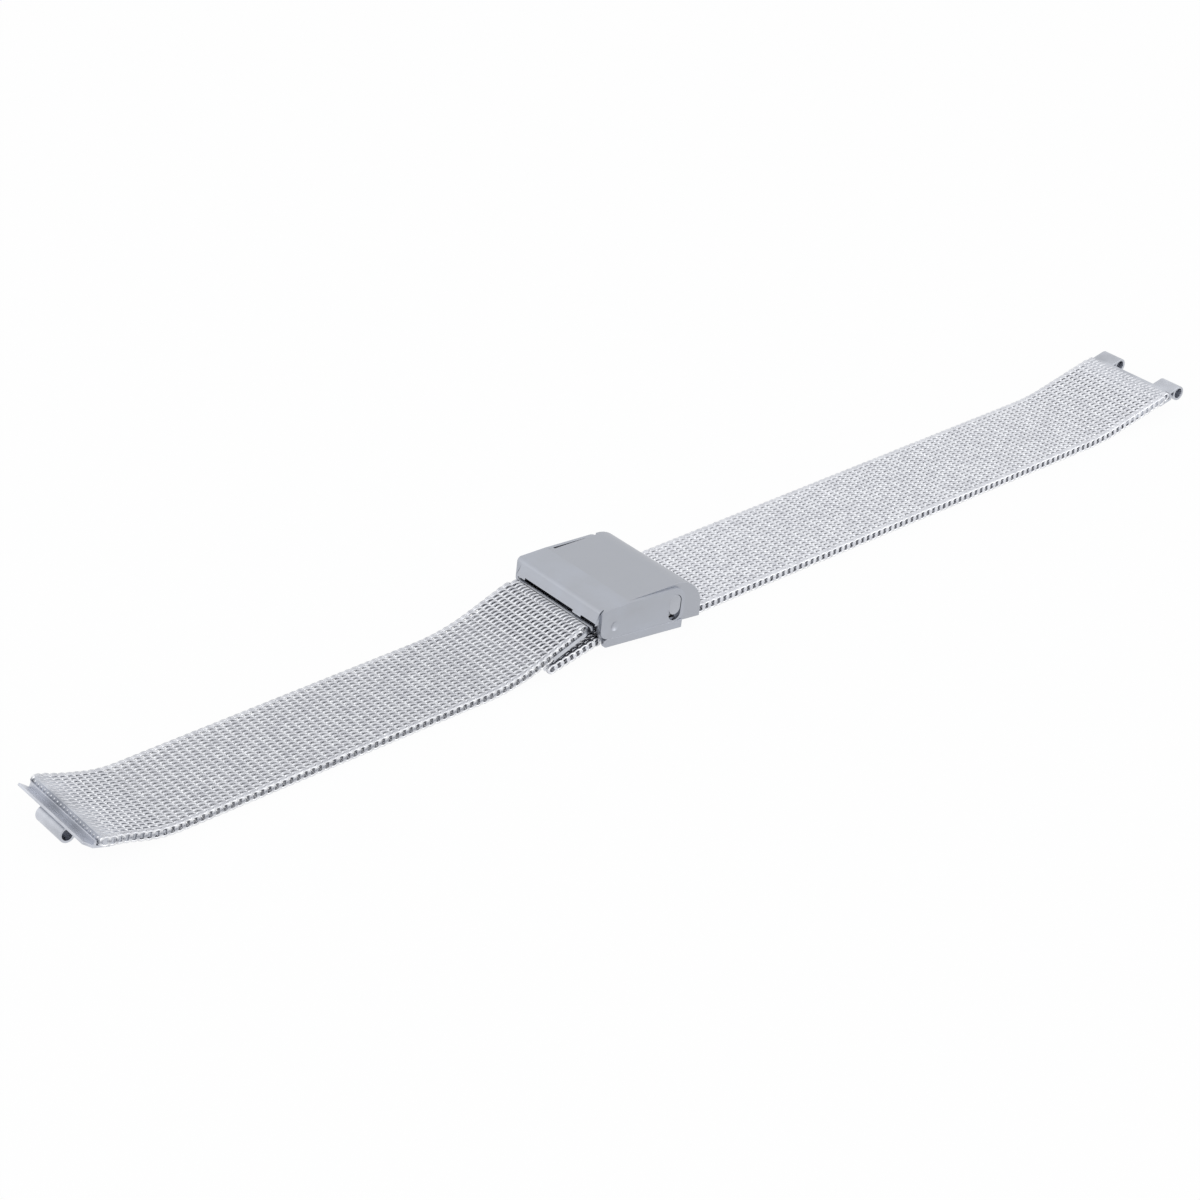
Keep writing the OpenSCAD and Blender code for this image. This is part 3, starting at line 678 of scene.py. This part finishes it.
def makeStudio():
    world = bpy.data.worlds.new("studio")
    bpy.context.scene.world = world
    world.use_nodes = True
    tree = world.node_tree
    tree.nodes.clear()
    lit = addNode(tree, "ShaderNodeBackground",
                  values={"Color": studio["skyTint"], "Strength": studio["sky"]})
    white = addNode(tree, "ShaderNodeBackground", values={"Color": colour("#ffffff"), "Strength": 1.0})
    sky = mixShaders(tree, seenDirectly(tree), lit.outputs[0], white.outputs[0])
    addNode(tree, "ShaderNodeOutputWorld", links={"Surface": sky})

    # Matt white card, which keeps a trace of the bracelet's shadow
    material, tree = newMaterial("white table")
    matt = addNode(tree, "ShaderNodeBsdfPrincipled",
                   values={"Base Color": colour(studio["floor"]), "Roughness": studio["floorRoughness"]})
    glow = addNode(tree, "ShaderNodeEmission", values={"Color": colour("#ffffff"), "Strength": 1.0})
    share = addNode(tree, "ShaderNodeMath", {"operation": "MULTIPLY"}, {1: studio["whiteness"]},
                    {0: seenDirectly(tree)})
    card = mixShaders(tree, share.outputs[0], matt.outputs[0], glow.outputs[0])
    addNode(tree, "ShaderNodeOutputMaterial", links={"Surface": card})
    bm = bmesh.new()
    bmesh.ops.create_grid(bm, x_segments=2, y_segments=2, size=studio["floorSize"] / 2)
    bmesh.ops.translate(bm, verts=bm.verts, vec=(0, 0, -studio["floorDrop"] * mm))
    floorMesh = bpy.data.meshes.new("floor")
    bm.to_mesh(floorMesh)
    bm.free()
    floorMesh.materials.append(material)
    floor = bpy.data.objects.new("floor", floorMesh)
    bpy.context.scene.collection.objects.link(floor)


# A round soft lamp aimed at the scene's origin
def addLamp(name, place, size, power):
    lamp = bpy.data.lights.new(name, "AREA")
    lamp.shape = "DISK"
    lamp.size = size
    lamp.energy = power
    item = bpy.data.objects.new(name, lamp)
    item.location = place
    item.rotation_mode = "QUATERNION"
    item.rotation_quaternion = (-Vector(place)).to_track_quat("-Z", "Y")
    bpy.context.scene.collection.objects.link(item)


makeStudio()
addLamp("key", studio["keyPlace"], studio["keySize"], studio["keyPower"])
addLamp("fill", studio["fillPlace"], studio["fillSize"], studio["fillPower"])


# The photograph's view, from before the short half's near corner, 31 degrees above the table
view = {
    "aim": (-8.94, 3.08, 0.0),     # mm
    "distance": 390.74,            # mm
    "heading": 51.61,              # degrees from +X towards +Y
    "downwards": 31.04,            # degrees
    "sensor": 36,                  # mm
    "focal": 87.1422,              # mm
    "nearest": 0.01,               # m
    "farthest": 20,                # m
}
camera = bpy.data.cameras.new("camera")
camera.sensor_width = view["sensor"]
camera.lens = view["focal"]
camera.clip_start = view["nearest"]
camera.clip_end = view["farthest"]
eye = bpy.data.objects.new("camera", camera)
heading, dip = math.radians(view["heading"]), math.radians(view["downwards"])
forward = Vector((math.cos(heading) * math.cos(dip), math.sin(heading) * math.cos(dip), -math.sin(dip)))
eye.location = (Vector(view["aim"]) - forward * view["distance"]) * mm
eye.rotation_mode = "QUATERNION"
eye.rotation_quaternion = forward.to_track_quat("-Z", "Y")
bpy.context.scene.collection.objects.link(eye)
bpy.context.scene.camera = eye
bpy.context.scene.view_settings.view_transform = "Standard"
print("studio and camera ready")
